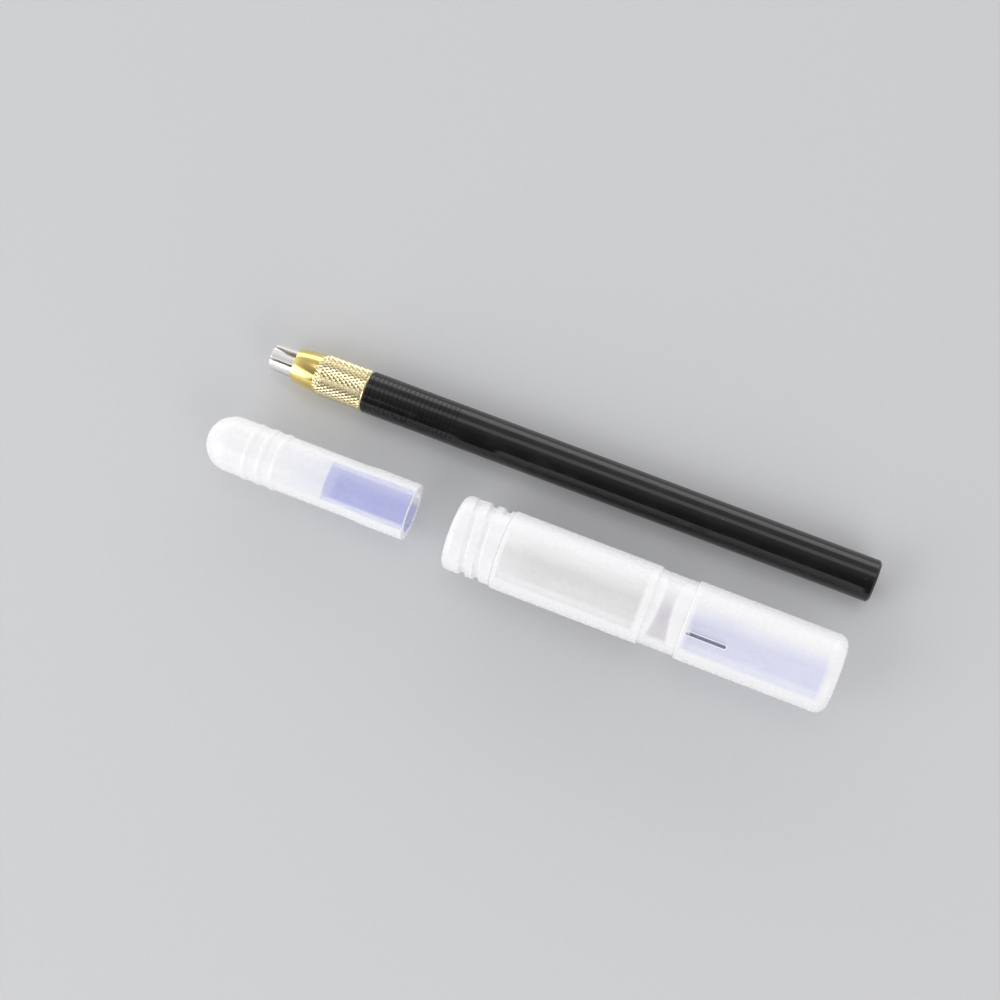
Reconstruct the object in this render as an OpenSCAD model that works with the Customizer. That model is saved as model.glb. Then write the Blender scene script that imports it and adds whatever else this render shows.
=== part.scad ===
// Hobby craft knife: a pen-shaped knife with a collet chuck, its push-on blade cap,
// and a round case that holds spare blades at one end and used ones at the other.
// All three lie side by side on the surface z = 0, with their axes along X and the
// knife's tip towards -X. The origin is the bottom centre of the whole set.

/* [Handle] */
// Diameter of the handle
handle_d = 9.8; // [9.2:0.1:12]
// Length of the handle
handle_len = 121.9; // [70:0.1:150]
// Chamfer round the butt end
butt_chamfer = 0.5; // [0.1:0.1:1.5]
// Chamfer round the front end
front_chamfer = 0.15; // [0.05:0.05:0.3]
// Number of grooves round the grip
grip_grooves = 20; // [4:1:30]
// Distance from one grip groove to the next
grip_pitch = 1.1; // [0.8:0.05:2]
// Width of a grip groove
grip_groove_w = 0.6; // [0.2:0.05:0.7]
// Depth of a grip groove
grip_groove_depth = 0.2; // [0.2:0.05:0.4]
// Distance from the front end to the first grip groove
grip_start = 1.1; // [0.8:0.1:5]

/* [Chuck sleeve] */
// Length of the sleeve in front of the handle
sleeve_len = 17.75; // [15:0.05:26]
// Gap between the sleeve and the handle
sleeve_gap = 0.25; // [0.1:0.05:0.6]
// Step in from the handle's side to the sleeve's
sleeve_inset = 0.05; // [0:0.05:0.25]
// Length of the knurled band at the sleeve's full diameter
knurl_len = 10.5; // [5:0.1:12]
// Length over which the knurled band falls to the smooth nose
knurl_runout = 1.6; // [0.8:0.1:2.4]
// Step in from the knurled band to the back of the nose
nose_step = 0.4; // [0.1:0.05:0.6]
// Step in from the back of the nose to its front edge
nose_taper = 0.6; // [0.2:0.05:0.65]
// How far the nose bulges outside a straight cone
nose_bulge = 0.12; // [0:0.02:0.3]
// Radius of the nose's front edge
nose_edge = 0.25; // [0.05:0.05:0.3]
// Chamfer at the back of the sleeve
sleeve_chamfer = 0.2; // [0.05:0.05:0.4]
// Length of the sleeve's tail inside the handle
tail_len = 6.5; // [6:0.1:9]
// Diameter of the sleeve's tail
tail_d = 6.8; // [6.6:0.05:7.2]

/* [Collet] */
// How far the collet stands out of the nose
collet_out = 5.8; // [3:0.1:9]
// Diameter of the collet where it enters the nose
collet_d = 6.4; // [6:0.05:6.5]
// Diameter of the collet at its front
collet_front_d = 5.9; // [5.4:0.05:6]
// Radius of the collet's front edge
collet_edge = 0.4; // [0.1:0.05:0.8]
// Length of the closing cone
cone_len = 3.4; // [2:0.1:5]
// Diameter of the threaded stem
stem_d = 5; // [4.8:0.05:5.2]
// Width across the flats that key the stem to its guide
stem_flats = 3.6; // [3:0.1:4]
// Number of slits across the collet
slit_count = 3; // [2:1:3]
// Width of a slit
slit_w = 0.5; // [0.48:0.01:0.6]
// Length of the slits that don't hold the blade
short_slit_len = 15; // [8:0.5:18]
// Lean of the blade's slit away from upright, about the knife's axis
blade_lean = 32; // [0:1:60]
// Width of the wedge-shaped relief beside the blade's slit
relief_w = 1.6; // [0.5:0.1:1.6]
// Depth of that relief
relief_depth = 1; // [0.4:0.1:1.2]
// How far the collet moves forward to let go of the blade
collet_travel = 1.05; // [0.5:0.05:1.4]

/* [Collet guide and snap ring] */
// Length of the guide bush
guide_len = 6; // [3:0.5:8]
// Diameter of the guide bush and of the bore that holds it
guide_d = 6; // [5.8:0.1:6.2]
// Length of stem behind the guide when the collet is let forward
stem_past_guide = 1; // [0.5:0.5:4]
// Distance from the handle's front end to the snap ring
ring_at = 4; // [2:0.1:5]
// Width of the snap ring along the axis
ring_w = 0.5; // [0.3:0.05:0.8]
// Height of the snap ring across its section
ring_h = 0.75; // [0.6:0.05:0.85]
// Opening of the snap ring, in degrees
ring_opening = 50; // [20:5:90]

/* [Blades] */
// Length of a blade
blade_len = 33.8; // [24:0.1:34]
// Width of a blade
blade_w = 4; // [3:0.1:4.2]
// Thickness of a blade
blade_t = 0.45; // [0.3:0.01:0.46]
// Angle of the cutting edge to the blade's back
edge_angle = 30; // [20:1:60]
// Width of the ground bevel
bevel_w = 0.8; // [0.3:0.1:1.2]
// Thickness left at the cutting edge
edge_t = 0.04; // [0.02:0.01:0.1]
// How far the blade's tip sits behind the collet's front
blade_inset = 0.2; // [0.1:0.05:2]

/* [Blade cap] */
// Length of the cap
cap_len = 50.1; // [46:0.1:70]
// Diameter of the cap's body
cap_d = 12.8; // [12.4:0.1:16]
// How far the ribs and the skirt stand out from the cap's body
cap_rise = 0.25; // [0.1:0.05:0.5]
// Length of the skirt's full diameter
cap_skirt_len = 10; // [3:0.5:14]
// Length over which the body widens to the skirt
cap_flare_len = 3; // [1:0.5:5]
// Number of grip ribs
cap_ribs = 3; // [1:1:5]
// Width of a grip rib
cap_rib_w = 1.75; // [0.8:0.05:2.4]
// Distance from one grip rib to the next
cap_rib_pitch = 3.4; // [2.5:0.1:4]
// Distance from the domed end to the first grip rib
cap_rib_start = 11.3; // [9:0.1:16]
// Radial clearance between the cap's mouth and the handle
cap_fit = 0.15; // [0.05:0.05:0.3]
// Depth of the mouth's wide bore
cap_mouth_depth = 19.8; // [12:0.1:21]
// Step in from the mouth's bore to the middle bore
cap_mid_step = 0.5; // [0.3:0.05:0.6]
// Length of the middle bore
cap_mid_len = 11.3; // [4:0.1:12]
// Diameter of the bore for the blade's point
cap_point_d = 7.2; // [5.5:0.1:8]
// Thickness of the cap's domed end
cap_end_t = 4; // [2:0.1:6]
// Chamfer on the mouth's edges
cap_edge = 0.2; // [0.05:0.05:0.4]

/* [Blade case] */
// Diameter of the case
case_d = 18.1; // [17.9:0.1:24]
// Length of each of the two chambers
chamber_len = 34.8; // [34.6:0.1:60]
// Diameter of the bore inside the chambers
chamber_bore = 13.2; // [12.6:0.1:13.6]
// Thickness of the disposal chamber's end wall
chamber_end_t = 2.2; // [1:0.1:3]
// Radius inside the chambers' closed ends
chamber_fillet = 1.2; // [0.3:0.1:2]
// Radius of the edges beside the collar
shoulder_r = 0.4; // [0.1:0.05:0.6]
// Radius of the disposal chamber's outer end
case_end_r = 2.6; // [0.5:0.1:4]
// Thickness of the inner walls at their rim
septum_t = 0.4; // [0.2:0.1:1]
// Rise of the inner walls' domes
septum_dome = 2.1; // [0.5:0.1:3.2]
// Length of the collar that shows between the chambers
collar_len = 8.4; // [7:0.1:16]
// Step in from the case's side to the collar's
collar_step = 0.45; // [0.2:0.05:0.6]
// Step in from the collar's side to its ends, inside the chambers
spigot_step = 0.4; // [0.2:0.05:0.5]
// Diameter of the hole through the collar
collar_bore = 15.4; // [15:0.1:15.6]
// Length of each of the collar's ends
spigot_len = 1.9; // [1:0.1:4]
// Length of the disposal slot
slot_len = 9.15; // [5:0.05:20]
// Width of the disposal slot
slot_w = 0.75; // [0.5:0.05:1.5]
// Distance from the disposal chamber's shoulder to the slot
slot_at = 1.05; // [0.8:0.05:8]
// Lean of the disposal slot away from upright, about the case's axis
slot_lean = 28; // [0:1:60]

/* [Case end cap] */
// Length of the end cap
end_cap_len = 11.85; // [11.7:0.05:20]
// Step in from the case's side to the end cap's
end_cap_step = 0.35; // [0:0.05:0.5]
// Thickness of the end cap's end wall
end_cap_wall = 2; // [1:0.1:3]
// Radius of the end cap's outer edge
end_cap_edge = 1.8; // [0.5:0.1:2]
// Radius of the end cap's rim
end_cap_rim = 0.15; // [0.05:0.05:0.3]
// Diameter of the tube's neck, inside the end cap
neck_d = 14.6; // [14.3:0.1:14.8]
// Length of the tube's neck
neck_len = 8.35; // [5:0.05:8.8]
// Distance from one turn of the spiral grip groove to the next
spiral_pitch = 3.25; // [3:0.05:3.4]
// Depth of the spiral grip groove
spiral_depth = 0.65; // [0.2:0.05:0.7]
// Radius of the spiral grip groove's section
spiral_r = 0.85; // [0.5:0.05:1.2]
// Distance from the end to the start of the spiral
spiral_start = 3.65; // [3:0.05:3.8]
// Number of half turns in the spiral grip groove
spiral_half_turns = 4; // [2:2:4]
// How far the groove runs on over the top after its last half turn, in degrees
spiral_runout = 45; // [20:5:90]

/* [Spare blades] */
// Number of blades in each of the two stacks
stack_count = 15; // [1:1:15]
// Play between one blade of a stack and the next
stack_play = 0.01; // [0.005:0.005:0.03]
// Gap between the two stacks
stack_gap = 0.2; // [0.1:0.05:0.6]
// Play between a stack and the case's walls
stack_rest = 0.03; // [0.01:0.01:0.1]

/* [Layout] */
// Gap between the knife and the blade case
row_gap = 9.9; // [3:0.1:40]
// How far the cap's domed end lies in front of the collet
cap_lead = 5.8; // [0:0.1:30]
// Gap between the cap's mouth and the blade case
cap_to_case = 10.6; // [10.5:0.1:40]
// How much nearer to the knife the cap's axis lies than the case's
cap_shift = 0.85; // [0:0.05:3]

/* [Fits] */
// Radial clearance of a part that turns or slides in another
fit = 0.05; // [0.02:0.01:0.08]
// Gap between flat faces of parts that come apart
seam = 0.1; // [0.05:0.05:0.3]

/* [Hidden] */
$fn = 96;
cut = 0.01; // overshoot of a cutting shape past the face that it opens
past = 1; // overshoot of a cutting shape in open air
nose_steps = 8; // straight pieces in the nose's curve
edge_steps = 4; // straight pieces in a small turned radius

// radii
handle_r = handle_d / 2;
sleeve_r = handle_r - sleeve_inset;
tail_r = tail_d / 2;
nose_back_r = sleeve_r - nose_step;
nose_front_r = nose_back_r - nose_taper;
stem_r = stem_d / 2;
collet_r = collet_d / 2;
collet_front_r = collet_front_d / 2;
cap_r = cap_d / 2 + cap_rise;
mouth_r = handle_r + cap_fit;
case_r = case_d / 2;
bore_r = chamber_bore / 2;
collar_r = case_r - collar_step;
spigot_r = collar_r - spigot_step;
dome_r = collar_bore / 2 - fit;
end_cap_r = case_r - end_cap_step;
neck_r = neck_d / 2;

// stations along the knife, from the handle's front end, with the tip at -X
sleeve_back = -sleeve_gap;
nose_x = sleeve_back - sleeve_len;
knurl_front = sleeve_back - knurl_len;
nose_back = knurl_front - knurl_runout;
collet_front = nose_x - collet_out;
blade_tip = collet_front + blade_inset;
slit_end = blade_tip + blade_len + 0.8; // leaves the blade's tail some room
guide_at = slit_end + 1;
guide_end = guide_at + guide_len;
stem_end = guide_end + collet_travel + stem_past_guide;
bore_end = stem_end + 1.5; // leaves the stem some room
seat_end = tail_len + 0.5; // leaves the sleeve's tail some room

// the snap ring lies half in the sleeve's groove and half in the handle's
ring_mid_r = tail_r + fit / 2;
ring_in = ring_mid_r - ring_h / 2;
ring_out = ring_mid_r + ring_h / 2;

// stations along the cap, from its domed end, and along the case, from its end cap
cap_step_at = cap_len - cap_mouth_depth;
cap_point_at = cap_step_at - cap_mid_len;
shoulder = end_cap_len;
tube_end = shoulder + chamber_len;
disposal_at = tube_end + collar_len;
case_len = disposal_at + chamber_len;
groove_depth = spigot_len + seam;

// places of the three axes, so that the origin is the bottom centre of the set
cap_at = collet_front - cap_lead;
case_at = cap_at + cap_len + cap_to_case;
middle_x = (min(collet_front, cap_at) + max(handle_len, case_at + case_len)) / 2;
case_dy = -(handle_r + row_gap + case_r);
cap_dy = case_dy + cap_shift;
middle_y = (min(case_dy - case_r, cap_dy - cap_r) + handle_r) / 2;

spare_blades = 2 * stack_count;
function spare_name(i) = str("spare_blade_", i < 10 ? "0" : "", i);

// ---- shared shapes ----

// places what is drawn about the axis of the knife, the cap or the case
module at_knife() translate([-middle_x, -middle_y, handle_r]) children();
module at_cap() translate([cap_at - middle_x, cap_dy - middle_y, cap_r]) children();
module at_case() translate([case_at - middle_x, case_dy - middle_y, case_r]) children();

// turns a half section about the X axis: its x is the radius, its y the station
module turned(angle = 360) rotate([0, 90, 0]) rotate_extrude(angle = angle) children();

// leans what stands along Z away from upright, about X; positive leans towards +Y
module leaning(angle) rotate([-angle, 0, 0]) children();

// points of an arc about [x, y]
function arc(x, y, r, from, to, steps) =
    [for (i = [0:steps]) let (a = from + (to - from) * i / steps) [x + r * cos(a), y + r * sin(a)]];

// radius of the circle whose chord and rise are given
function chord_radius(chord, rise) = (chord * chord / 4 + rise * rise) / (2 * rise);

// half section of a round bar from station 0 to len, with its two edges radiused
module bar_section(r, len, edge_0, edge_1) {
    translate([0, edge_0]) square([r, len - edge_0 - edge_1]);
    square([r - edge_0, len / 2]);
    translate([r - edge_0, edge_0]) circle(edge_0);
    translate([0, len / 2]) square([r - edge_1, len / 2]);
    translate([r - edge_1, len - edge_1]) circle(edge_1);
}

// half section of a blind bore from station 0, its mouth, to len
module pocket_section(r, len, fillet) {
    translate([0, -cut]) square([r, len - fillet + cut]);
    square([r - fillet, len]);
    translate([r - fillet, len - fillet]) circle(fillet);
}

// half section of a shallow dome on station 0
module dome_section(r, rise) {
    sphere_r = chord_radius(2 * r, rise);
    intersection() {
        translate([0, rise - sphere_r]) circle(sphere_r);
        translate([0, -cut]) square([r, rise + cut]);
    }
}

// ---- knife ----

module handle_section() {
    polygon(concat(
        [[0, 0], [handle_r - front_chamfer, 0], [handle_r, front_chamfer]],
        [for (i = [0:grip_grooves - 1], p = [[-2, 0], [-1, 1], [1, 1], [2, 0]])
            [handle_r - p[1] * grip_groove_depth, grip_start + i * grip_pitch + p[0] * grip_groove_w / 4]],
        [[handle_r, handle_len - butt_chamfer], [handle_r - butt_chamfer, handle_len], [0, handle_len]]));
}

module handle_barrel() color("#1c1c1e") at_knife() turned() difference() {
    handle_section();
    // seat for the sleeve's tail, the snap ring's groove and the bore for the collet
    translate([0, -cut]) square([tail_r + fit, seat_end + cut]);
    translate([0, ring_at - fit]) square([ring_out + fit, ring_w + 2 * fit]);
    square([guide_d / 2, bore_end]);
}

module sleeve_snap_ring() color("silver") at_knife()
    rotate([ring_opening / 2, 0, 0]) turned(360 - ring_opening)
        translate([ring_in, ring_at]) square([ring_h, ring_w]);

// the stem's cross-section where it is keyed, grown by a clearance
module key_section(clearance) intersection() {
    circle(stem_r + clearance);
    square([2 * stem_d, stem_flats + 2 * clearance], center = true);
}

module collet_guide() color("#b08d3c") at_knife()
    translate([guide_at, 0, 0]) rotate([0, 90, 0]) linear_extrude(guide_len) difference() {
        circle(d = guide_d);
        key_section(fit);
    }

// radius of the nose's curve at a share of its length
function nose_r(share) = nose_back_r - nose_taper * share + nose_bulge * 4 * share * (1 - share);

module chuck_sleeve() color("#d8b866") at_knife() turned() difference() {
    polygon(concat(
        [[0, tail_len], [tail_r, tail_len], [tail_r, sleeve_back],
         [sleeve_r - sleeve_chamfer, sleeve_back], [sleeve_r, sleeve_back - sleeve_chamfer],
         [sleeve_r, knurl_front]],
        [for (i = [0:nose_steps]) [nose_r(i / nose_steps),
            nose_back + (nose_x + nose_edge - nose_back) * i / nose_steps]],
        arc(nose_front_r - nose_edge, nose_x + nose_edge, nose_edge, -90 / edge_steps, -90, edge_steps - 1),
        [[0, nose_x]]));
    // closing cone and the nut's bore for the collet's stem
    polygon([[0, nose_x - cut], [collet_r + fit, nose_x - cut], [collet_r + fit, nose_x],
             [stem_r + fit, nose_x + cone_len], [stem_r + fit, tail_len + cut], [0, tail_len + cut]]);
    translate([ring_in - fit, ring_at - fit]) square([ring_h, ring_w + 2 * fit]);
}

module collet_slit(angle, end) leaning(angle)
    translate([collet_front - past, -slit_w / 2, -collet_d])
        cube([end - collet_front + past, slit_w, 2 * collet_d]);

// a wedge beside the blade's slit, closed at the collet's front and wide at the nose
module blade_relief(angle) leaning(angle)
    translate([0, 0, collet_r - relief_depth]) linear_extrude(relief_depth + past)
        polygon([[collet_front, 0], [nose_x, -relief_w], [nose_x, 0]]);

module collet() color("#c9ccd0") at_knife() difference() {
    turned() polygon(concat(
        [[0, stem_end], [stem_r, stem_end], [stem_r, nose_x + cone_len], [collet_r, nose_x]],
        arc(collet_front_r - collet_edge, collet_front + collet_edge, collet_edge, 0, -90, edge_steps),
        [[0, collet_front]]));
    collet_slit(blade_lean, slit_end);
    for (i = [1:slit_count - 1])
        collet_slit(blade_lean - i * 180 / slit_count, collet_front + short_slit_len);
    for (side = [0, 180]) blade_relief(blade_lean + side);
    for (side = [0, 180]) rotate([side, 0, 0])
        translate([slit_end + 0.6, stem_flats / 2, -stem_d]) cube([stem_end, stem_d, 2 * stem_d]);
}

// a flat blade along +X from its tip, with its back at +Y and its ground edge at -Y
module blade_plate() {
    edge_back = blade_w / tan(edge_angle);
    difference() {
        linear_extrude(blade_t, center = true)
            polygon([[0, blade_w / 2], [blade_len, blade_w / 2], [blade_len, -blade_w / 2],
                     [edge_back, -blade_w / 2]]);
        for (side = [0, 1]) mirror([0, 0, side])
            translate([0, blade_w / 2, 0]) rotate([0, 0, -edge_angle]) translate([-blade_w, 0, 0])
                rotate([90, 0, 90]) linear_extrude(edge_back + 3 * blade_w)
                    polygon([[-past, edge_t / 2], [0, edge_t / 2], [bevel_w, blade_t / 2],
                             [bevel_w, blade_t], [-past, blade_t]]);
    }
}

module blade() color("#dfe3e8") at_knife()
    translate([blade_tip, 0, 0]) rotate([90 - blade_lean, 0, 0]) blade_plate();

// ---- cap ----

module cap_outside() {
    body_r = cap_d / 2;
    flare_end = cap_len - cap_skirt_len;
    rib_r = chord_radius(cap_rib_w, cap_rise);
    intersection() {
        translate([0, body_r]) circle(body_r);
        square(body_r + cut);
    }
    polygon([[0, body_r], [body_r, body_r], [body_r, flare_end - cap_flare_len], [cap_r, flare_end],
             [cap_r, cap_len - cap_edge], [cap_r - cap_edge, cap_len], [0, cap_len]]);
    for (i = [0:cap_ribs - 1]) intersection() {
        translate([cap_r - rib_r, cap_rib_start + i * cap_rib_pitch]) circle(rib_r);
        square([cap_r + past, cap_len]);
    }
}

module cap_inside() {
    point_r = cap_point_d / 2;
    polygon([[0, cap_len + cut], [mouth_r + cap_edge, cap_len + cut], [mouth_r + cap_edge, cap_len],
             [mouth_r, cap_len - cap_edge], [mouth_r, cap_step_at], [mouth_r - cap_mid_step, cap_step_at],
             [mouth_r - cap_mid_step, cap_point_at], [point_r, cap_point_at],
             [point_r, cap_end_t + point_r], [0, cap_end_t + point_r]]);
    intersection() {
        translate([0, cap_end_t + point_r]) circle(point_r);
        square([point_r + cut, cap_point_at]);
    }
}

module blade_cap() color("#eef0f6") at_cap() turned() difference() {
    cap_outside();
    cap_inside();
}

// ---- blade case ----

// annular groove that takes an end of the collar, from station 0
module collar_groove() translate([dome_r, -cut])
    square([spigot_r + fit - dome_r, groove_depth + cut]);

module case_tube() color("#eceef2") at_case() turned() difference() {
    union() {
        translate([0, shoulder]) bar_section(case_r, chamber_len, shoulder_r, shoulder_r);
        translate([0, shoulder - neck_len]) bar_section(neck_r, neck_len + shoulder_r + cut, end_cap_rim, cut);
        translate([0, tube_end]) dome_section(dome_r, septum_dome);
    }
    translate([0, shoulder - neck_len]) pocket_section(bore_r, neck_len + chamber_len - septum_t, chamber_fillet);
    translate([0, tube_end]) mirror([0, 1]) collar_groove();
}

module case_collar() color("#dcdde6") at_case() turned() difference() {
    union() {
        translate([0, tube_end]) square([collar_r, collar_len - seam]);
        translate([0, tube_end - spigot_len]) square([spigot_r, collar_len + 2 * spigot_len]);
    }
    translate([0, tube_end - spigot_len - cut])
        square([collar_bore / 2, collar_len + 2 * spigot_len + 2 * cut]);
}

module disposal_slot() leaning(-slot_lean) translate([disposal_at + slot_at, 0, bore_r - past]) {
    translate([slot_w / 2, -slot_w / 2, 0]) cube([slot_len - slot_w, slot_w, case_r]);
    for (x = [slot_w / 2, slot_len - slot_w / 2]) translate([x, 0, 0]) cylinder(d = slot_w, h = case_r);
}

module disposal_box() color("#e6e7f4") at_case() difference() {
    turned() translate([0, disposal_at]) difference() {
        union() {
            bar_section(case_r, chamber_len, shoulder_r, case_end_r);
            mirror([0, 1]) dome_section(dome_r, septum_dome);
        }
        translate([0, septum_t])
            bar_section(bore_r, chamber_len - septum_t - chamber_end_t, chamber_fillet, chamber_fillet);
        collar_groove();
    }
    disposal_slot();
}

// one of the half turns of the spiral grip groove, over the top or under the bottom
module half_turn(number, sweep = 180) {
    under = number % 2;
    slope = atan(spiral_pitch / 4 / end_cap_r);
    translate([spiral_start + (number + 0.5) * spiral_pitch / 2, 0, 0])
        rotate([0, 0, under ? -slope : slope]) rotate([under ? 180 : 0, 0, 0])
            rotate([0, 90, 0]) rotate([0, 0, 90]) rotate_extrude(angle = sweep)
                translate([end_cap_r - spiral_depth + spiral_r, 0]) circle(spiral_r, $fn = 32);
}

module case_end_cap() color("white") at_case() difference() {
    turned() difference() {
        bar_section(end_cap_r, end_cap_len - seam, end_cap_edge, end_cap_rim);
        translate([0, end_cap_len - seam]) mirror([0, 1])
            pocket_section(neck_r + fit, end_cap_len - seam - end_cap_wall, end_cap_rim);
    }
    for (i = [0:spiral_half_turns - 1]) half_turn(i);
    half_turn(spiral_half_turns, spiral_runout);
}

// one of the spare blades: two stacks side by side, the second turned end for end
module spare_blade(number) {
    stack = number > stack_count ? 1 : 0;
    level = number - 1 - stack * stack_count;
    half_width = blade_w + stack_gap / 2;
    floor_z = -sqrt(bore_r * bore_r - half_width * half_width) + stack_rest;
    color("#9aa0a8") at_case()
        translate([tube_end - septum_t - chamber_fillet - blade_len / 2,
                   (stack * 2 - 1) * (blade_w + stack_gap) / 2,
                   floor_z + blade_t / 2 + level * (blade_t + stack_play)])
            rotate([0, 0, stack * 180]) translate([-blade_len / 2, 0, 0]) blade_plate();
}

// ---- nodes ----

handle_barrel();
sleeve_snap_ring();
collet_guide();
chuck_sleeve();
collet();
blade();
blade_cap();
case_tube();
case_collar();
case_end_cap();
disposal_box();
for (i = [1:spare_blades]) spare_blade(i);
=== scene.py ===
"""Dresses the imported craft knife, its blade cap and its blade case."""

from math import cos, pi, radians, sin

import bmesh
import bpy
from mathutils import Matrix, Vector


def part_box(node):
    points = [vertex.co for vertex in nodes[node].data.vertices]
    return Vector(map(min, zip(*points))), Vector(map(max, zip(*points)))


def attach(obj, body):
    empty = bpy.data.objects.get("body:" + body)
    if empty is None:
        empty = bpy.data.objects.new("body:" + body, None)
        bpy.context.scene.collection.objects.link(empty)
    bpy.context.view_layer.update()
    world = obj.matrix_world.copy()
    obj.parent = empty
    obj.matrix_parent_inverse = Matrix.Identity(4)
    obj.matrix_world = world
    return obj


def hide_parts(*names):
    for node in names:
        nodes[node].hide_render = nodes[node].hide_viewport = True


MM = 0.001

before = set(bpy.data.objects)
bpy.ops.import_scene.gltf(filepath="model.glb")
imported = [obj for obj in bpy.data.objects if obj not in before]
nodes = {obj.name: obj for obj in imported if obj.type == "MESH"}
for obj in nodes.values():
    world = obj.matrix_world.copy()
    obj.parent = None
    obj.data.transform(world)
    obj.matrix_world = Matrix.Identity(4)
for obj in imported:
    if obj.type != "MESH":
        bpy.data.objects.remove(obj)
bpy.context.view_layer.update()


def axis_of(node):
    """Y and Z of the axis of a turned piece."""
    low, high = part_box(node)
    return (low.y + high.y) / 2, (low.z + high.z) / 2


KNIFE_AXIS = axis_of("handle_barrel")
CAP_AXIS = axis_of("blade_cap")
CASE_AXIS = axis_of("case_tube")
HANDLE_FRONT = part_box("handle_barrel")[0].x
CAP_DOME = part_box("blade_cap")[0].x
CASE_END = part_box("case_end_cap")[0].x

# the part's sizes, in millimetres; the knife's stations are measured from the handle's front

# the handle and its grip grooves: their places, how far one reaches from its middle, the radius
# beyond which a vertex lies on the handle's outside, and the share of its width and the depth
# that each groove is drawn in to
HANDLE_R = 4.9
GRIP_FIRST = 1.1
GRIP_PITCH = 1.1
GRIP_COUNT = 20
GRIP_REACH = 0.32
GRIP_OUTSIDE_R = 4.6
GRIP_WIDTH_SHARE = 0.65
GRIP_DEPTH = 0.1

# the chuck sleeve
SLEEVE_BACK = -0.25
KNURL_FRONT = -10.75
NOSE_BACK = -12.35
NOSE_FRONT = -18.0
SLEEVE_R = 4.85
SLEEVE_BACK_R = 4.55
NOSE_BACK_R = 4.45
NOSE_TAPER = 0.6
NOSE_BULGE = 0.12
NOSE_EDGE = 0.25
NOSE_ROUND = 0.07
NOSE_STEP = 0.5
NOSE_STEPS = 9
MOUTH_R = 3.25
MOUTH_DEPTH = 3.4
BORE_R = 2.55
TAIL_END = 6.5
TAIL_R = 3.4
TAIL_CHAMFER = 0.15

# its diamond knurl
KNURL_STARTS = 34
KNURL_ROWS = 8
KNURL_ROW = 1.5
KNURL_GROOVE = 0.14
KNURL_SLOPE = 0.25
KNURL_RIM = 0.15
KNURL_RIM_SINK = 0.2
KNURL_JOIN = 0.2

# the closing cone of the collet's jaws: two stations and the radius at each, and how far behind the
# jaws' face the painted shade in their cuts starts
JAW_BACK = -18.0
JAW_FRONT = -23.8
JAW_BACK_R = 3.2
JAW_FRONT_R = 2.95
JAW_FACE = 0.12

# the case's collar, and the disposal slot: its start from the case's end, its size, its lean off
# upright, and how far its painted shade and the painted white border round it, which stands for
# light scattered at the cut edge, reach past its outline
COLLAR_R = 8.6
SLOT_START = 56.1
SLOT_LEN = 9.15
SLOT_W = 0.75
SLOT_LEAN = radians(28)
SLOT_SHADE = 0.02
SLOT_RIM = 0.25

# where two stations count as one, and the sharpest angle in radians that is shaded smooth
CLOSE = 0.01
SMOOTH_BELOW = 0.5

# the black handle, its smudges and its dust
LACQUER = (0.003, 0.0027, 0.0027, 1.0)
LACQUER_SMUDGED = (0.007, 0.006, 0.0058, 1.0)
DUST = (0.16, 0.155, 0.15, 1.0)

# tones of the knurl's lands and grooves and of the cuts in the collet, all painted light: the
# knurl's band is painted paler brass as a painted highlight, its grooves a little darker as painted
# shade, and the collet's cuts a darker, warmer tone as painted shade; with the depths at which the
# second of two tones starts and is full
KNURL_PAINTED_HIGHLIGHT = (0.82, 0.72, 0.45, 1.0)
KNURL_GROOVE_PAINTED_SHADE = (0.78, 0.69, 0.43, 1.0)
KNURL_TONE_DEPTHS = (0.01, 0.05)
KNURL_TONE_FADE = 0.5
PAINTED_CUT_SHADE = (0.88, 0.84, 0.74, 1.0)
CUT_TONE_DEPTHS = (0.06, 0.5)

# the span of noise values that the turning marks use, and how much they roughen bare metal
LINES_SPAN = (0.2, 0.8)
LINES_ROUGHEN = 0.12

# milky plastic: the white where it is thick, the painted shade in the open slot, the film strengths
# between which the tint turns white and those between which the clouds fade, and the slants between
# which the wall's edge shows, with its strength there
WHITE = (0.965, 0.965, 0.98, 1.0)
PAINTED_SLOT_SHADE = (0.2, 0.21, 0.36, 1.0)
FILM_WHITENS = (0.45, 0.85)
CLOUDS_FADE = (0.75, 0.95)
WALL = (0.2, 0.34, 0.97)
# painted light, fixed to each piece and laid out for this scene's camera: PAINTED_FLANK_WHITE is
# the painted whiteness at shares of the radius off the axis, from the near side to the far side,
# standing for the walls seen edge-on from this camera and, reaching further in on the far side, for
# the brighter light there; PAINTED_FAR_LIGHT is how much milkier and whiter the far side is painted
# at distances off the axis, as painted light from the far side
PAINTED_FLANK_WHITE = [(-1.0, 1.0), (-0.86, 1.0), (-0.74, 0.0), (0.46, 0.0), (0.62, 1.0), (1.0, 1.0)]
PAINTED_FAR_LIGHT = [(-1.5, 0.0), (0.5, 0.3), (3.2, 1.0), (5.0, 1.0), (7.0, 0.0)]
# strength of each piece's film at stations from its start
CAP_FILM = [(0.0, 0.98), (10.0, 0.95), (18.8, 0.92), (19.2, 0.84),
            (30.1, 0.79), (30.5, 0.42), (49.95, 0.4), (50.05, 0.97)]
TUBE_FILM = [(0.0, 0.97), (12.7, 0.97), (13.1, 0.75), (20.0, 0.63),
             (44.4, 0.62), (45.3, 0.97), (50.0, 0.97)]
END_CAP_FILM = [(0.0, 0.98), (90.0, 0.98)]
DISPOSAL_FILM = [(50.0, 0.97), (55.3, 0.97), (56.6, 0.6), (86.3, 0.6), (87.8, 0.95), (90.0, 0.95)]
# the collar's film at distances from the domed ends that show in it, with white arcs painted over
# those ends as painted light, since the ends themselves lie in shade inside the collar: the station
# midway between the two, and how far each bulges towards it
COLLAR_FILM = [(0.0, 0.34), (1.1, 0.38), (1.8, 0.93), (6.0, 0.93)]
COLLAR_PAINTED_DOMES = (50.3, 1.4)

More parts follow.
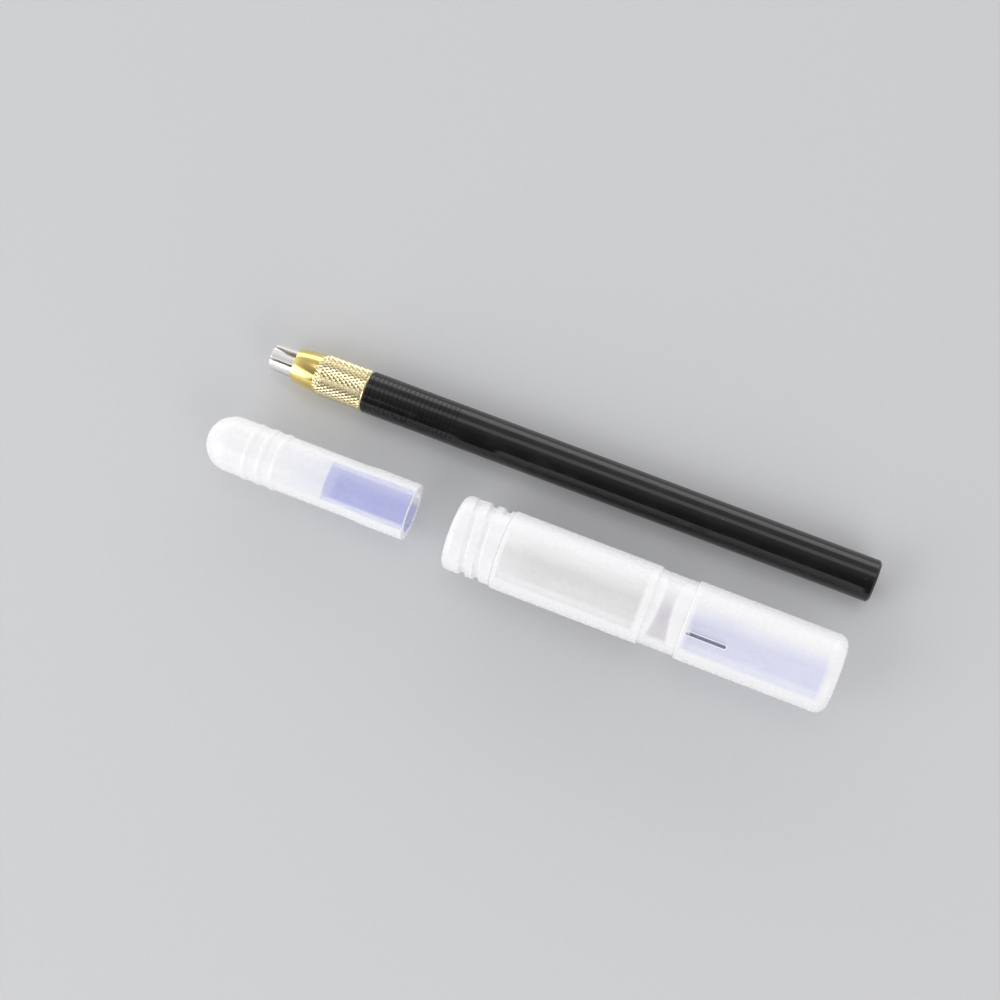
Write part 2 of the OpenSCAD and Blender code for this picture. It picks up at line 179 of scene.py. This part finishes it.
# the floor and its half width in metres, and the room: its brightness by direction from the near
# side to the far side, the span over which its sides turn white, and what the camera itself sees
FLOOR_TONES = ((0.63, 0.635, 0.65, 1.0), (0.655, 0.66, 0.675, 1.0))
FLOOR_HALF = 4.0
ROOM_MIDDLE = [(-1.0, 0.1), (-0.5, 0.18), (-0.1, 0.38), (0.3, 0.5), (1.0, 0.6)]
ROOM_SIDES = (0.95, 0.95, 0.95, 1.0)
ROOM_SIDES_SPAN = (0.42, 0.75)
BACKDROP = (0.93, 0.94, 0.96, 1.0)

# the camera, in metres, with its lens in millimetres
CAMERA_PLACE = (0.04715, -0.09158, 0.440)
CAMERA_RIGHT = (0.92766, 0.37131, -0.03964)
CAMERA_UP = (-0.35213, 0.90515, 0.23815)
CAMERA_SENSOR = 36.0
CAMERA_LENS = 71.66

# softboxes that face the part: name, place, width and height in metres, radiance
SOFTBOXES = [
    ("far_softbox", (-0.2, 1.0, 0.28), 2.4, 0.52, 1.5),
    ("top_softbox", (-0.06, 0.35, 1.0), 0.72, 0.35, 0.92),
    ("left_softbox", (-0.66, -0.64, 0.42), 0.7, 0.95, 2.25),
    ("right_softbox", (0.7, -0.65, 0.45), 0.8, 0.8, 1.65),
]


# ---- camera and light ----

def set_camera():
    right, up = Vector(CAMERA_RIGHT), Vector(CAMERA_UP)
    turn = Matrix((right, up, right.cross(up))).transposed()
    lens = bpy.data.cameras.new("camera")
    lens.sensor_width = CAMERA_SENSOR
    lens.lens = CAMERA_LENS
    camera = bpy.data.objects.new("camera", lens)
    camera.matrix_world = Matrix.Translation(CAMERA_PLACE) @ turn.to_4x4()
    bpy.context.scene.collection.objects.link(camera)
    bpy.context.scene.camera = camera


def add_softbox(name, place, width, height, radiance):
    """A rectangular lamp facing the part; radiance is how bright it looks from there."""
    lamp = bpy.data.lights.new(name, "AREA")
    lamp.shape = "RECTANGLE"
    lamp.size = width
    lamp.size_y = height
    lamp.energy = radiance * pi * width * height
    holder = bpy.data.objects.new(name, lamp)
    facing = (-Vector(place)).to_track_quat("-Z", "Y")
    holder.matrix_world = Matrix.Translation(place) @ facing.to_matrix().to_4x4()
    bpy.context.scene.collection.objects.link(holder)


# ---- shading helpers ----

class Shading:
    """Adds nodes to one material, world or node group."""

    def __init__(self, tree):
        self.tree = tree

    def node(self, kind, feeds=None, **settings):
        made = self.tree.nodes.new(kind)
        for name, value in settings.items():
            setattr(made, name, value)
        for socket, value in (feeds or {}).items():
            self.feed(made.inputs[socket], value)
        return made

    def feed(self, socket, value):
        if isinstance(value, bpy.types.NodeSocket):
            self.tree.links.new(value, socket)
        else:
            socket.default_value = value

    def math(self, operation, *values, clamp=False):
        return self.node("ShaderNodeMath", dict(enumerate(values)), operation=operation,
                         use_clamp=clamp).outputs[0]

    def vector_math(self, operation, *values):
        return self.node("ShaderNodeVectorMath", dict(enumerate(values)),
                         operation=operation).outputs

    def remap(self, value, low, high, to_low=0.0, to_high=1.0, kind="LINEAR"):
        return self.node("ShaderNodeMapRange", {0: value, 1: low, 2: high, 3: to_low, 4: to_high},
                         interpolation_type=kind).outputs[0]

    def blend(self, share, first, second):
        """Colour between two colours."""
        return self.node("ShaderNodeMix", {0: share, 6: first, 7: second},
                         data_type="RGBA").outputs[2]

    def steps(self, value, stops):
        """A curve through (value, result) stops, straight between them."""
        low, high = stops[0][0], stops[-1][0]
        ramp = self.node("ShaderNodeValToRGB", {0: self.remap(value, low, high)})
        points = ramp.color_ramp.elements
        points[0].position, points[1].position = 0.0, 1.0
        for _ in stops[2:]:
            points.new(0.5)
        for point, (at, level) in zip(points, stops):
            point.position = (at - low) / (high - low)
            point.color = (level, level, level, 1.0)
        return ramp.outputs[0]

    def coordinates(self):
        return self.node("ShaderNodeTexCoord").outputs["Object"]

    def parts(self, vector):
        """The three numbers of a vector."""
        return self.node("ShaderNodeSeparateXYZ", {0: vector}).outputs

    def stretched(self, vector, scale):
        return self.node("ShaderNodeMapping", {"Vector": vector, "Scale": scale}).outputs[0]

    def noise(self, vector, scale, detail=2.0, roughness=0.5, distortion=0.0):
        return self.node("ShaderNodeTexNoise", {
            "Vector": vector, "Scale": scale, "Detail": detail, "Roughness": roughness,
            "Distortion": distortion}).outputs[0]

    def radius(self, vector, axis):
        """Distance in millimetres from an axis along X."""
        moved = self.vector_math("ADD", vector, (0.0, -axis[0], -axis[1]))[0]
        flat = self.vector_math("MULTIPLY", moved, (0.0, 1.0, 1.0))[0]
        return self.math("MULTIPLY", self.vector_math("LENGTH", flat)["Value"], 1.0 / MM)

    def along(self, vector, start):
        """Distance in millimetres along X from start."""
        return self.math("MULTIPLY", self.math("SUBTRACT", self.parts(vector)[0], start), 1.0 / MM)

    def bump(self, height, strength, distance):
        return self.node("ShaderNodeBump", {
            "Height": height, "Strength": strength, "Distance": distance}).outputs[0]

    def effect(self, tree, feeds):
        return self.node("ShaderNodeGroup", feeds, node_tree=tree).outputs


def make_effect(name, inputs, outputs, build):
    """A shared node group; build takes the shading and its input sockets and gives the results."""
    tree = bpy.data.node_groups.new(name, "ShaderNodeTree")
    for label, kind, value in inputs:
        tree.interface.new_socket(label, in_out="INPUT", socket_type=kind).default_value = value
    for label in outputs:
        tree.interface.new_socket(label, in_out="OUTPUT", socket_type="NodeSocketFloat")
    shading = Shading(tree)
    results = build(shading, shading.node("NodeGroupInput").outputs)
    shading.node("NodeGroupOutput", dict(zip(outputs, results)))
    return tree


def build_lathe_lines(s, given):
    """Fine turning marks round X, a spacing apart, worn away in patches."""
    turns = s.math("DIVIDE", s.parts(given["Vector"])[0], given["Spacing"])
    fine = s.node("ShaderNodeTexNoise", {"W": turns, "Scale": 1.0, "Detail": 3.0},
                  noise_dimensions="1D").outputs[0]
    worn = s.noise(given["Vector"], scale=260.0, detail=3.0)
    return [s.math("MULTIPLY", fine, s.remap(worn, low=0.3, high=0.7, to_low=0.6))]


def build_handling(s, given):
    """Masks of the smudges and of the long thin scratches that use leaves."""
    smudge = s.noise(given["Vector"], scale=140.0, detail=4.0, roughness=0.6, distortion=0.4)
    crossed = s.stretched(given["Vector"], (220.0, 2600.0, 2600.0))
    scratch = s.noise(crossed, scale=1.0, detail=1.0, roughness=0.4, distortion=1.2)
    return [s.remap(smudge, low=0.42, high=0.68), s.remap(scratch, low=0.66, high=0.74)]


def build_specks(s, given):
    """Scattered dots: the brighter cells of a pattern hold one each, the brightest the largest."""
    cells = s.node("ShaderNodeTexVoronoi", {"Vector": given["Vector"], "Scale": given["Scale"]})
    lit = s.parts(cells.outputs["Color"])[0]
    size = s.math("MULTIPLY", s.math("GREATER_THAN", lit, 0.62), given["Size"])
    return [s.math("LESS_THAN", cells.outputs["Distance"], s.math("MULTIPLY", size, lit))]


def build_moulded(s, given):
    """Clouds drawn out along X, and the ripple of a moulded skin."""
    drawn = s.stretched(given["Vector"], (0.35, 1.0, 1.0))
    cloud = s.noise(drawn, scale=150.0, detail=3.0, roughness=0.55, distortion=0.6)
    return [s.remap(cloud, low=0.3, high=0.7), s.noise(given["Vector"], scale=900.0)]


VECTOR_INPUT = ("Vector", "NodeSocketVector", (0.0, 0.0, 0.0))
lathe_lines = make_effect(
    "lathe_lines", [VECTOR_INPUT, ("Spacing", "NodeSocketFloat", 0.12 * MM)], ["Lines"],
    build_lathe_lines)
handling = make_effect("handling", [VECTOR_INPUT], ["Smudge", "Scratch"], build_handling)
specks = make_effect(
    "specks", [VECTOR_INPUT, ("Scale", "NodeSocketFloat", 500.0),
               ("Size", "NodeSocketFloat", 0.06)], ["Specks"], build_specks)
moulded = make_effect("moulded", [VECTOR_INPUT], ["Cloud", "Ripple"], build_moulded)


def new_material(name):
    """A material with its Principled shader: (material, shading, shader)."""
    material = bpy.data.materials.new(name)
    material.use_nodes = True
    shading = Shading(material.node_tree)
    shader = next(n for n in material.node_tree.nodes if n.type == "BSDF_PRINCIPLED")
    return material, shading, shader


# ---- finishes ----

def make_black_handle():
    material, s, shader = new_material("black_handle")
    where = s.coordinates()
    lines = s.effect(lathe_lines, {"Vector": where, "Spacing": 0.16 * MM})["Lines"]
    smudge = s.effect(handling, {"Vector": where})["Smudge"]
    dust = s.effect(specks, {"Vector": where, "Scale": 420.0, "Size": 0.05})["Specks"]
    lacquer = s.blend(smudge, LACQUER, LACQUER_SMUDGED)
    s.feed(shader.inputs["Base Color"], s.blend(dust, lacquer, DUST))
    s.feed(shader.inputs["Roughness"], s.math(
        "ADD", s.remap(lines, *LINES_SPAN, to_low=0.10, to_high=0.18),
        s.math("MULTIPLY", smudge, 0.08)))
    s.feed(shader.inputs["Normal"], s.bump(lines, strength=0.2, distance=0.01 * MM))
    shader.inputs["Specular IOR Level"].default_value = 0.55
    return material


def depth_in(s, where, station, ends, radii):
    """Depth below a cone about the knife's axis, given by two stations and the radius at each."""
    return s.math("SUBTRACT", s.remap(station, *ends, *radii), s.radius(where, KNIFE_AXIS))


def make_brass(name, dark, light, roughness, knurled=False):
    """Turned brass; knurled paints the band of the knurl paler brass, as a painted highlight, and
    its grooves a little darker, as painted shade.
    """
    material, s, shader = new_material(name)
    where = s.coordinates()
    lines = s.effect(lathe_lines, {"Vector": where, "Spacing": 0.09 * MM})["Lines"]
    tone = s.blend(s.effect(handling, {"Vector": where})["Smudge"], light, dark)
    if knurled:
        u = s.along(where, HANDLE_FRONT)
        # painted light: the knurl's band is painted paler as a painted highlight, and its grooves
        # darker as painted shade
        depth = depth_in(s, where, u, (NOSE_BACK, KNURL_FRONT), (NOSE_BACK_R, SLEEVE_R))
        band = s.remap(u, NOSE_BACK, NOSE_BACK + KNURL_TONE_FADE)
        groove = s.math("MULTIPLY", s.remap(depth, *KNURL_TONE_DEPTHS), band)
        tone = s.blend(groove, s.blend(band, tone, KNURL_PAINTED_HIGHLIGHT), KNURL_GROOVE_PAINTED_SHADE)
    s.feed(shader.inputs["Base Color"], tone)
    shader.inputs["Metallic"].default_value = 1.0
    s.feed(shader.inputs["Roughness"],
           s.remap(lines, *LINES_SPAN, roughness, roughness + LINES_ROUGHEN))
    s.feed(shader.inputs["Normal"], s.bump(lines, strength=0.35, distance=0.01 * MM))
    return material


def make_steel(name, dark, light, roughness, spacing, paint_cut_shade=False):
    """Bare or plated steel; split paints shade into the slits and hollows cut into the collet's
    jaws.
    """
    material, s, shader = new_material(name)
    where = s.coordinates()
    lines = s.effect(lathe_lines, {"Vector": where, "Spacing": spacing})["Lines"]
    touched = s.effect(handling, {"Vector": where})
    tone = s.blend(s.math("MULTIPLY", lines, 0.8), light, dark)
    tone = s.blend(touched["Scratch"], tone, light)
    if paint_cut_shade:
        # painted shade: the slits and hollows of the jaws are painted a darker, warmer tone
        u = s.along(where, HANDLE_FRONT)
        depth = depth_in(s, where, u, (JAW_BACK, JAW_FRONT), (JAW_BACK_R, JAW_FRONT_R))
        behind_face = s.math("GREATER_THAN", u, JAW_FRONT + JAW_FACE)
        cut = s.math("MULTIPLY", s.remap(depth, *CUT_TONE_DEPTHS), behind_face)
        tone = s.blend(cut, tone, PAINTED_CUT_SHADE)
    s.feed(shader.inputs["Base Color"], tone)
    shader.inputs["Metallic"].default_value = 1.0
    s.feed(shader.inputs["Roughness"], s.math(
        "ADD", s.remap(lines, *LINES_SPAN, roughness, roughness + LINES_ROUGHEN),
        s.math("MULTIPLY", touched["Smudge"], 0.1)))
    s.feed(shader.inputs["Normal"], s.bump(lines, strength=0.3, distance=0.008 * MM))
    return material


def slot_mask(s, where, margin):
    """1 inside the rounded outline of the disposal slot, grown by a margin."""
    place = s.parts(where)
    off_y = s.math("SUBTRACT", place[1], CASE_AXIS[0])
    off_z = s.math("SUBTRACT", place[2], CASE_AXIS[1])
    across = s.math("ADD", s.math("MULTIPLY", off_y, cos(SLOT_LEAN)),
                    s.math("MULTIPLY", off_z, sin(SLOT_LEAN)))
    middle = s.math("SUBTRACT", s.along(where, CASE_END), SLOT_START + SLOT_LEN / 2)
    half_straight = (SLOT_LEN - SLOT_W) / 2
    beyond = s.math("SUBTRACT", s.math("ABSOLUTE", middle), half_straight)
    off = s.node("ShaderNodeCombineXYZ", {
        0: s.math("DIVIDE", across, MM), 1: s.math("MAXIMUM", beyond, 0.0)}).outputs[0]
    inside = s.math("LESS_THAN", s.vector_math("LENGTH", off)["Value"], SLOT_W / 2 + margin)
    return s.math("MULTIPLY", inside, s.math("GREATER_THAN", off_z, 0.0))


def make_milky(name, axis, start, tint, film_stops, wall=WALL, haze=0.05, glow=0.7,
               slotted=False, painted_far_light=None, painted_domes=None):
    """Milky plastic: a tinted film where it is thin, opaque white where it is thick, and white
    painted on its flanks as painted light, standing for the wall seen edge-on from this scene's
    camera and, on the far side, for the brighter light there. axis and start give the place of the
    piece. film_stops gives the film's strength at stations along X, wall the slants between which
    the wall's edge shows and its strength, haze the strength of the clouds, glow the share of the
    light that passes through to what lies behind, and shoulder how much milkier and whiter the far
    side is painted, as painted light from the far side. slotted paints shade into the disposal slot
    and a white border round it that stands for light scattered at the cut edge. domes makes
    distances from two domed ends out of the stations, over which the film is painted white in arcs
    as painted light."""
    material, s, shader = new_material(name)
    where = s.coordinates()
    body = s.effect(moulded, {"Vector": where})
    smudge = s.effect(handling, {"Vector": where})["Smudge"]
    off_y = s.math("MULTIPLY", s.math("SUBTRACT", s.parts(where)[1], axis[0]), 1.0 / MM)
    # painted light: the flanks are painted white where this camera sees the wall edge-on, further
    # in on the far side where the light is brighter
    flank = s.steps(s.math("DIVIDE", off_y, s.radius(where, axis)), PAINTED_FLANK_WHITE)
    station = s.along(where, start)
    if painted_domes:
        # painted light: white arcs are painted on the collar's film over the domed ends inside,
        # which lie in shade
        middle, bulge = painted_domes
        arc = s.math("POWER", s.math("DIVIDE", s.math("ABSOLUTE", off_y), COLLAR_R), 2.0)
        station = s.math(
            "SUBTRACT", s.math("ABSOLUTE", s.math("SUBTRACT", station, middle)),
            s.math("MULTIPLY", arc, bulge))
    film = s.steps(station, film_stops)
    thin = s.remap(film, *CLOUDS_FADE, 1.0, 0.0)
    clouds = s.math("MULTIPLY", s.remap(body["Cloud"], 0.0, 1.0, -haze, haze), thin)
    film = s.math("ADD", film, clouds)
    if painted_far_light:
        # painted light: a band on the far side is painted milkier and whiter, as if lit from the
        # far side
        band = s.steps(off_y, PAINTED_FAR_LIGHT)
        film = s.math("ADD", film, s.math("MULTIPLY", band, painted_far_light), clamp=True)
    facing = s.node("ShaderNodeLayerWeight", {"Blend": 0.5}).outputs["Facing"]
    slant_low, slant_high, strength = wall
    edge = s.remap(facing, slant_low, slant_high, 0.0, strength, "SMOOTHSTEP")
    opacity = s.math("MAXIMUM", film, edge, clamp=True)
    whitened = s.math("MAXIMUM", s.remap(film, *FILM_WHITENS), flank)
    tone = s.blend(whitened, tint, WHITE)
    if slotted:
        # painted shade fills the slot, and a painted white border round it stands for light
        # scattered at the cut edge
        shade, rim = slot_mask(s, where, SLOT_SHADE), slot_mask(s, where, SLOT_RIM)
        opacity = s.math("MAXIMUM", opacity, rim)
        tone = s.blend(shade, s.blend(rim, tone, WHITE), PAINTED_SLOT_SHADE)
    ray = s.node("ShaderNodeLightPath").outputs
    lighting = s.math("MAXIMUM", ray["Is Shadow Ray"], ray["Is Diffuse Ray"])
    s.feed(shader.inputs["Alpha"],
           s.math("MULTIPLY", opacity, s.remap(lighting, 0.0, 1.0, 1.0, 1.0 - glow)))
    s.feed(shader.inputs["Base Color"], tone)
    s.feed(shader.inputs["Roughness"], s.math(
        "ADD", s.remap(body["Ripple"], 0.3, 0.7, 0.22, 0.3), s.math("MULTIPLY", smudge, 0.05)))
    s.feed(shader.inputs["Normal"], s.bump(body["Ripple"], strength=0.02, distance=0.02 * MM))
    shader.inputs["IOR"].default_value = 1.5
    return material


def make_floor():
    material, s, shader = new_material("pale_floor")
    grain = s.noise(s.coordinates(), scale=900.0, detail=3.0)
    s.feed(shader.inputs["Base Color"], s.blend(grain, *FLOOR_TONES))
    shader.inputs["Roughness"].default_value = 0.85
    return material


def set_world():
    world = bpy.data.worlds.new("studio")
    world.use_nodes = True
    bpy.context.scene.world = world
    s = Shading(world.node_tree)
    back = next(n for n in world.node_tree.nodes if n.type == "BACKGROUND")
    direction = s.parts(s.node("ShaderNodeTexCoord").outputs["Generated"])
    middle = s.steps(direction[1], ROOM_MIDDLE)
    sides = s.remap(s.math("ABSOLUTE", direction[0]), *ROOM_SIDES_SPAN, kind="SMOOTHSTEP")
    seen = s.node("ShaderNodeLightPath").outputs["Is Camera Ray"]
    room = s.blend(sides, middle, ROOM_SIDES)
    s.feed(back.inputs["Color"], s.blend(seen, room, BACKDROP))
    back.inputs["Strength"].default_value = 1.0


# ---- new pieces ----

def add_floor():
    mesh = bpy.data.meshes.new("floor")
    bm = bmesh.new()
    bmesh.ops.create_grid(bm, x_segments=1, y_segments=1, size=FLOOR_HALF)
    bm.to_mesh(mesh)
    bm.free()
    floor = bpy.data.objects.new("floor", mesh)
    mesh.materials.append(make_floor())
    bpy.context.scene.collection.objects.link(floor)


def place_of(vert):
    return vert.co[:]


def corners_of(item):
    return sorted(vert.index for vert in item.verts)


def settle_order(bm):
    """Numbers the elements by place, because spin and extrude leave them in any order."""
    for elements, key in ((bm.verts, place_of), (bm.edges, corners_of), (bm.faces, corners_of)):
        rank = {item: n for n, item in enumerate(sorted(elements, key=key))}
        elements.sort(key=rank.get)
        elements.index_update()


def spin_profile(bm, stations, axis, steps):
    """Turns an open line of (x, radius) stations about an axis along X."""
    line = [bm.verts.new((x, axis[0], axis[1] + r)) for x, r in stations]
    edges = [bm.edges.new(pair) for pair in zip(line, line[1:])]
    bmesh.ops.spin(bm, geom=line + edges, cent=(0.0, *axis), axis=(1.0, 0.0, 0.0),
                   dvec=(0.0, 0.0, 0.0), angle=2 * pi, steps=steps, use_merge=True)
    settle_order(bm)


def knife_place(vert):
    """Where a vertex lies on the knife: its station and its radius."""
    off = Vector((vert.co.y - KNIFE_AXIS[0], vert.co.z - KNIFE_AXIS[1]))
    return (vert.co.x - HANDLE_FRONT) / MM, off.length / MM


def set_radius(vert, r):
    """Moves a vertex straight in or out to a radius about the knife's axis."""
    off = Vector((0.0, vert.co.y - KNIFE_AXIS[0], vert.co.z - KNIFE_AXIS[1]))
    off = off.normalized() * (r * MM)
    vert.co = Vector((vert.co.x, KNIFE_AXIS[0] + off.y, KNIFE_AXIS[1] + off.z))


def open_ring(bm, x):
    """The boundary edges of a bmesh that lie at a place along X."""
    return [e for e in bm.edges
            if e.is_boundary and all(abs(v.co.x - x) < 2 * CLOSE * MM for v in e.verts)]


def finish_piece(bm, name, material, body, replaced):
    """Writes a bmesh to an object, shades it smooth but for its sharp edges and puts it on its
    body in place of what it replaces."""
    bmesh.ops.recalc_face_normals(bm, faces=bm.faces)
    for face in bm.faces:
        face.smooth = True
    for edge in bm.edges:
        edge.smooth = edge.is_manifold and edge.calc_face_angle() < SMOOTH_BELOW
    mesh = bpy.data.meshes.new(name)
    bm.to_mesh(mesh)
    bm.free()
    mesh.materials.append(material)
    piece = bpy.data.objects.new(name, mesh)
    bpy.context.scene.collection.objects.link(piece)
    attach(piece, body)
    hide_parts(*replaced)


def sleeve_radius(u):
    """Outer radius of the plain sleeve at a station."""
    if u >= KNURL_FRONT:
        return SLEEVE_R
    if u >= NOSE_BACK:
        share = (KNURL_FRONT - u) / (KNURL_FRONT - NOSE_BACK)
        return SLEEVE_R + (NOSE_BACK_R - SLEEVE_R) * share
    share = (NOSE_BACK - u) / (NOSE_BACK - NOSE_FRONT - NOSE_EDGE)
    return NOSE_BACK_R - NOSE_TAPER * share + NOSE_BULGE * 4 * share * (1 - share)


def add_knurl(bm, back):
    """Puts the knurl's band into an empty bmesh, forward from its back end, and gives the station
    of its front end."""
    bmesh.ops.create_circle(
        bm, cap_ends=False, segments=KNURL_STARTS, radius=SLEEVE_R * MM,
        matrix=Matrix.Translation((HANDLE_FRONT + back * MM, *KNIFE_AXIS))
        @ Matrix.Rotation(pi / 2, 4, "Y"))
    edges = bm.edges[:]
    for _ in range(KNURL_ROWS):
        grown = bmesh.ops.extrude_edge_only(bm, edges=edges)["geom"]
        moved = [g for g in grown if isinstance(g, bmesh.types.BMVert)]
        bmesh.ops.translate(bm, vec=(-KNURL_ROW * MM, 0.0, 0.0), verts=moved)
        edges = [g for g in grown if isinstance(g, bmesh.types.BMEdge)]
    settle_order(bm)
    old_edges = [e for e in bm.edges if not e.is_boundary]
    bmesh.ops.poke(bm, faces=bm.faces[:])
    bmesh.ops.dissolve_edges(bm, edges=old_edges, use_verts=False, use_face_split=False)
    lattice = set(bm.verts)
    bmesh.ops.inset_individual(bm, faces=bm.faces[:], thickness=KNURL_SLOPE * MM, depth=0.0,
                               use_even_offset=True)
    front = back - KNURL_ROWS * KNURL_ROW
    for vert in bm.verts:
        u = knife_place(vert)[0]
        level = sleeve_radius(u)
        if u > back - CLOSE:
            level -= KNURL_RIM_SINK
        elif vert in lattice and u > front + CLOSE:
            level -= KNURL_GROOVE
        set_radius(vert, level)
    return front


def add_knurled_sleeve(material):
    """The brass sleeve with its diamond knurl, and its nose, mouth cone, bore and tail."""
    bm = bmesh.new()
    knurl_back = SLEEVE_BACK - KNURL_RIM
    knurl_front = add_knurl(bm, knurl_back)
    nose_start = knurl_front - KNURL_JOIN
    nose_end_r = NOSE_BACK_R - NOSE_TAPER
    profile = [(u, sleeve_radius(u)) for u in (
        nose_start - i * NOSE_STEP for i in range(NOSE_STEPS))]
    profile += [
        (NOSE_FRONT + NOSE_EDGE, nose_end_r), (NOSE_FRONT + NOSE_ROUND, nose_end_r - NOSE_ROUND),
        (NOSE_FRONT, nose_end_r - NOSE_EDGE), (NOSE_FRONT, MOUTH_R),
        (NOSE_FRONT + MOUTH_DEPTH, BORE_R), (TAIL_END, BORE_R), (TAIL_END, TAIL_R - TAIL_CHAMFER),
        (TAIL_END - TAIL_CHAMFER, TAIL_R), (SLEEVE_BACK, TAIL_R), (SLEEVE_BACK, SLEEVE_BACK_R)]
    spin_profile(bm, [(HANDLE_FRONT + u * MM, r * MM) for u, r in profile], KNIFE_AXIS,
                 2 * KNURL_STARTS)
    for ends in ((knurl_back, SLEEVE_BACK), (knurl_front, nose_start)):
        rims = [edge for u in ends for edge in open_ring(bm, HANDLE_FRONT + u * MM)]
        bmesh.ops.bridge_loops(bm, edges=rims)
    finish_piece(bm, "knurled_sleeve", material, "chuck_sleeve", ["chuck_sleeve"])


def add_handle(material):
    """The black handle with its grip grooves drawn in to fine lines."""
    bm = bmesh.new()
    bm.from_mesh(nodes["handle_barrel"].data)
    bmesh.ops.remove_doubles(bm, verts=bm.verts, dist=0.001 * MM)
    for vert in bm.verts:
        u, r = knife_place(vert)
        number = round((u - GRIP_FIRST) / GRIP_PITCH)
        off = u - GRIP_FIRST - number * GRIP_PITCH
        if 0 <= number < GRIP_COUNT and abs(off) < GRIP_REACH and r > GRIP_OUTSIDE_R:
            vert.co.x -= off * (1.0 - GRIP_WIDTH_SHARE) * MM
            if r < HANDLE_R - GRIP_DEPTH:
                set_radius(vert, HANDLE_R - GRIP_DEPTH)
    finish_piece(bm, "fine_grooved_handle", material, "knife_handle",
                 ["handle_barrel"])


# ---- dressing ----

bpy.context.scene.view_settings.view_transform = "Standard"
set_camera()
set_world()
add_floor()
for softbox in SOFTBOXES:
    add_softbox(*softbox)

brass = make_brass("sleeve_brass", dark=(0.84, 0.64, 0.20, 1.0), light=(0.95, 0.76, 0.29, 1.0),
                   roughness=0.14, knurled=True)
blade_steel = make_steel("blade_steel", dark=(0.35, 0.36, 0.37, 1.0), light=(0.62, 0.63, 0.64, 1.0),
                         roughness=0.22, spacing=0.05 * MM)
spare_steel = make_steel("spare_steel", dark=(0.20, 0.19, 0.17, 1.0), light=(0.42, 0.40, 0.36, 1.0),
                         roughness=0.3, spacing=0.05 * MM)
finishes = {
    "handle_barrel": make_black_handle(),
    "sleeve_snap_ring": make_steel(
        "spring_steel", dark=(0.2, 0.2, 0.21, 1.0), light=(0.5, 0.5, 0.52, 1.0),
        roughness=0.3, spacing=0.05 * MM),
    "collet_guide": make_brass(
        "guide_brass", dark=(0.5, 0.33, 0.12, 1.0), light=(0.66, 0.48, 0.22, 1.0),
        roughness=0.25),
    "chuck_sleeve": brass,
    "collet": make_steel(
        "collet_nickel", dark=(0.86, 0.85, 0.83, 1.0), light=(0.96, 0.955, 0.94, 1.0),
        roughness=0.34, spacing=0.08 * MM, paint_cut_shade=True),
    "blade": blade_steel,
    # painted light: the lavender of the cap's thin film stands for blue light from a backing seen
    # through the wall, in shade
    "blade_cap": make_milky(
        "cap_plastic", CAP_AXIS, CAP_DOME, (0.54, 0.57, 0.93, 1.0), CAP_FILM),
    "case_tube": make_milky(
        "tube_plastic", CASE_AXIS, CASE_END, (0.89, 0.89, 0.9, 1.0), TUBE_FILM,
        painted_far_light=0.24),
    "case_collar": make_milky(
        "collar_plastic", CASE_AXIS, CASE_END, (0.94, 0.90, 0.96, 1.0), COLLAR_FILM,
        wall=(0.3, 0.5, 0.9), glow=0.9, painted_far_light=0.42, painted_domes=COLLAR_PAINTED_DOMES),
    "case_end_cap": make_milky(
        "end_cap_plastic", CASE_AXIS, CASE_END, WHITE, END_CAP_FILM, haze=0.02),
    # painted light: the lavender of the box's thin film stands for blue light from a backing seen
    # through the wall, in shade
    "disposal_box": make_milky(
        "disposal_plastic", CASE_AXIS, CASE_END, (0.70, 0.72, 1.0, 1.0), DISPOSAL_FILM,
        slotted=True, painted_far_light=0.3),
}
for name, node in nodes.items():
    finish = finishes.get(name, spare_steel)
    node.data.materials.clear()
    node.data.materials.append(finish)
add_knurled_sleeve(brass)
add_handle(finishes["handle_barrel"])
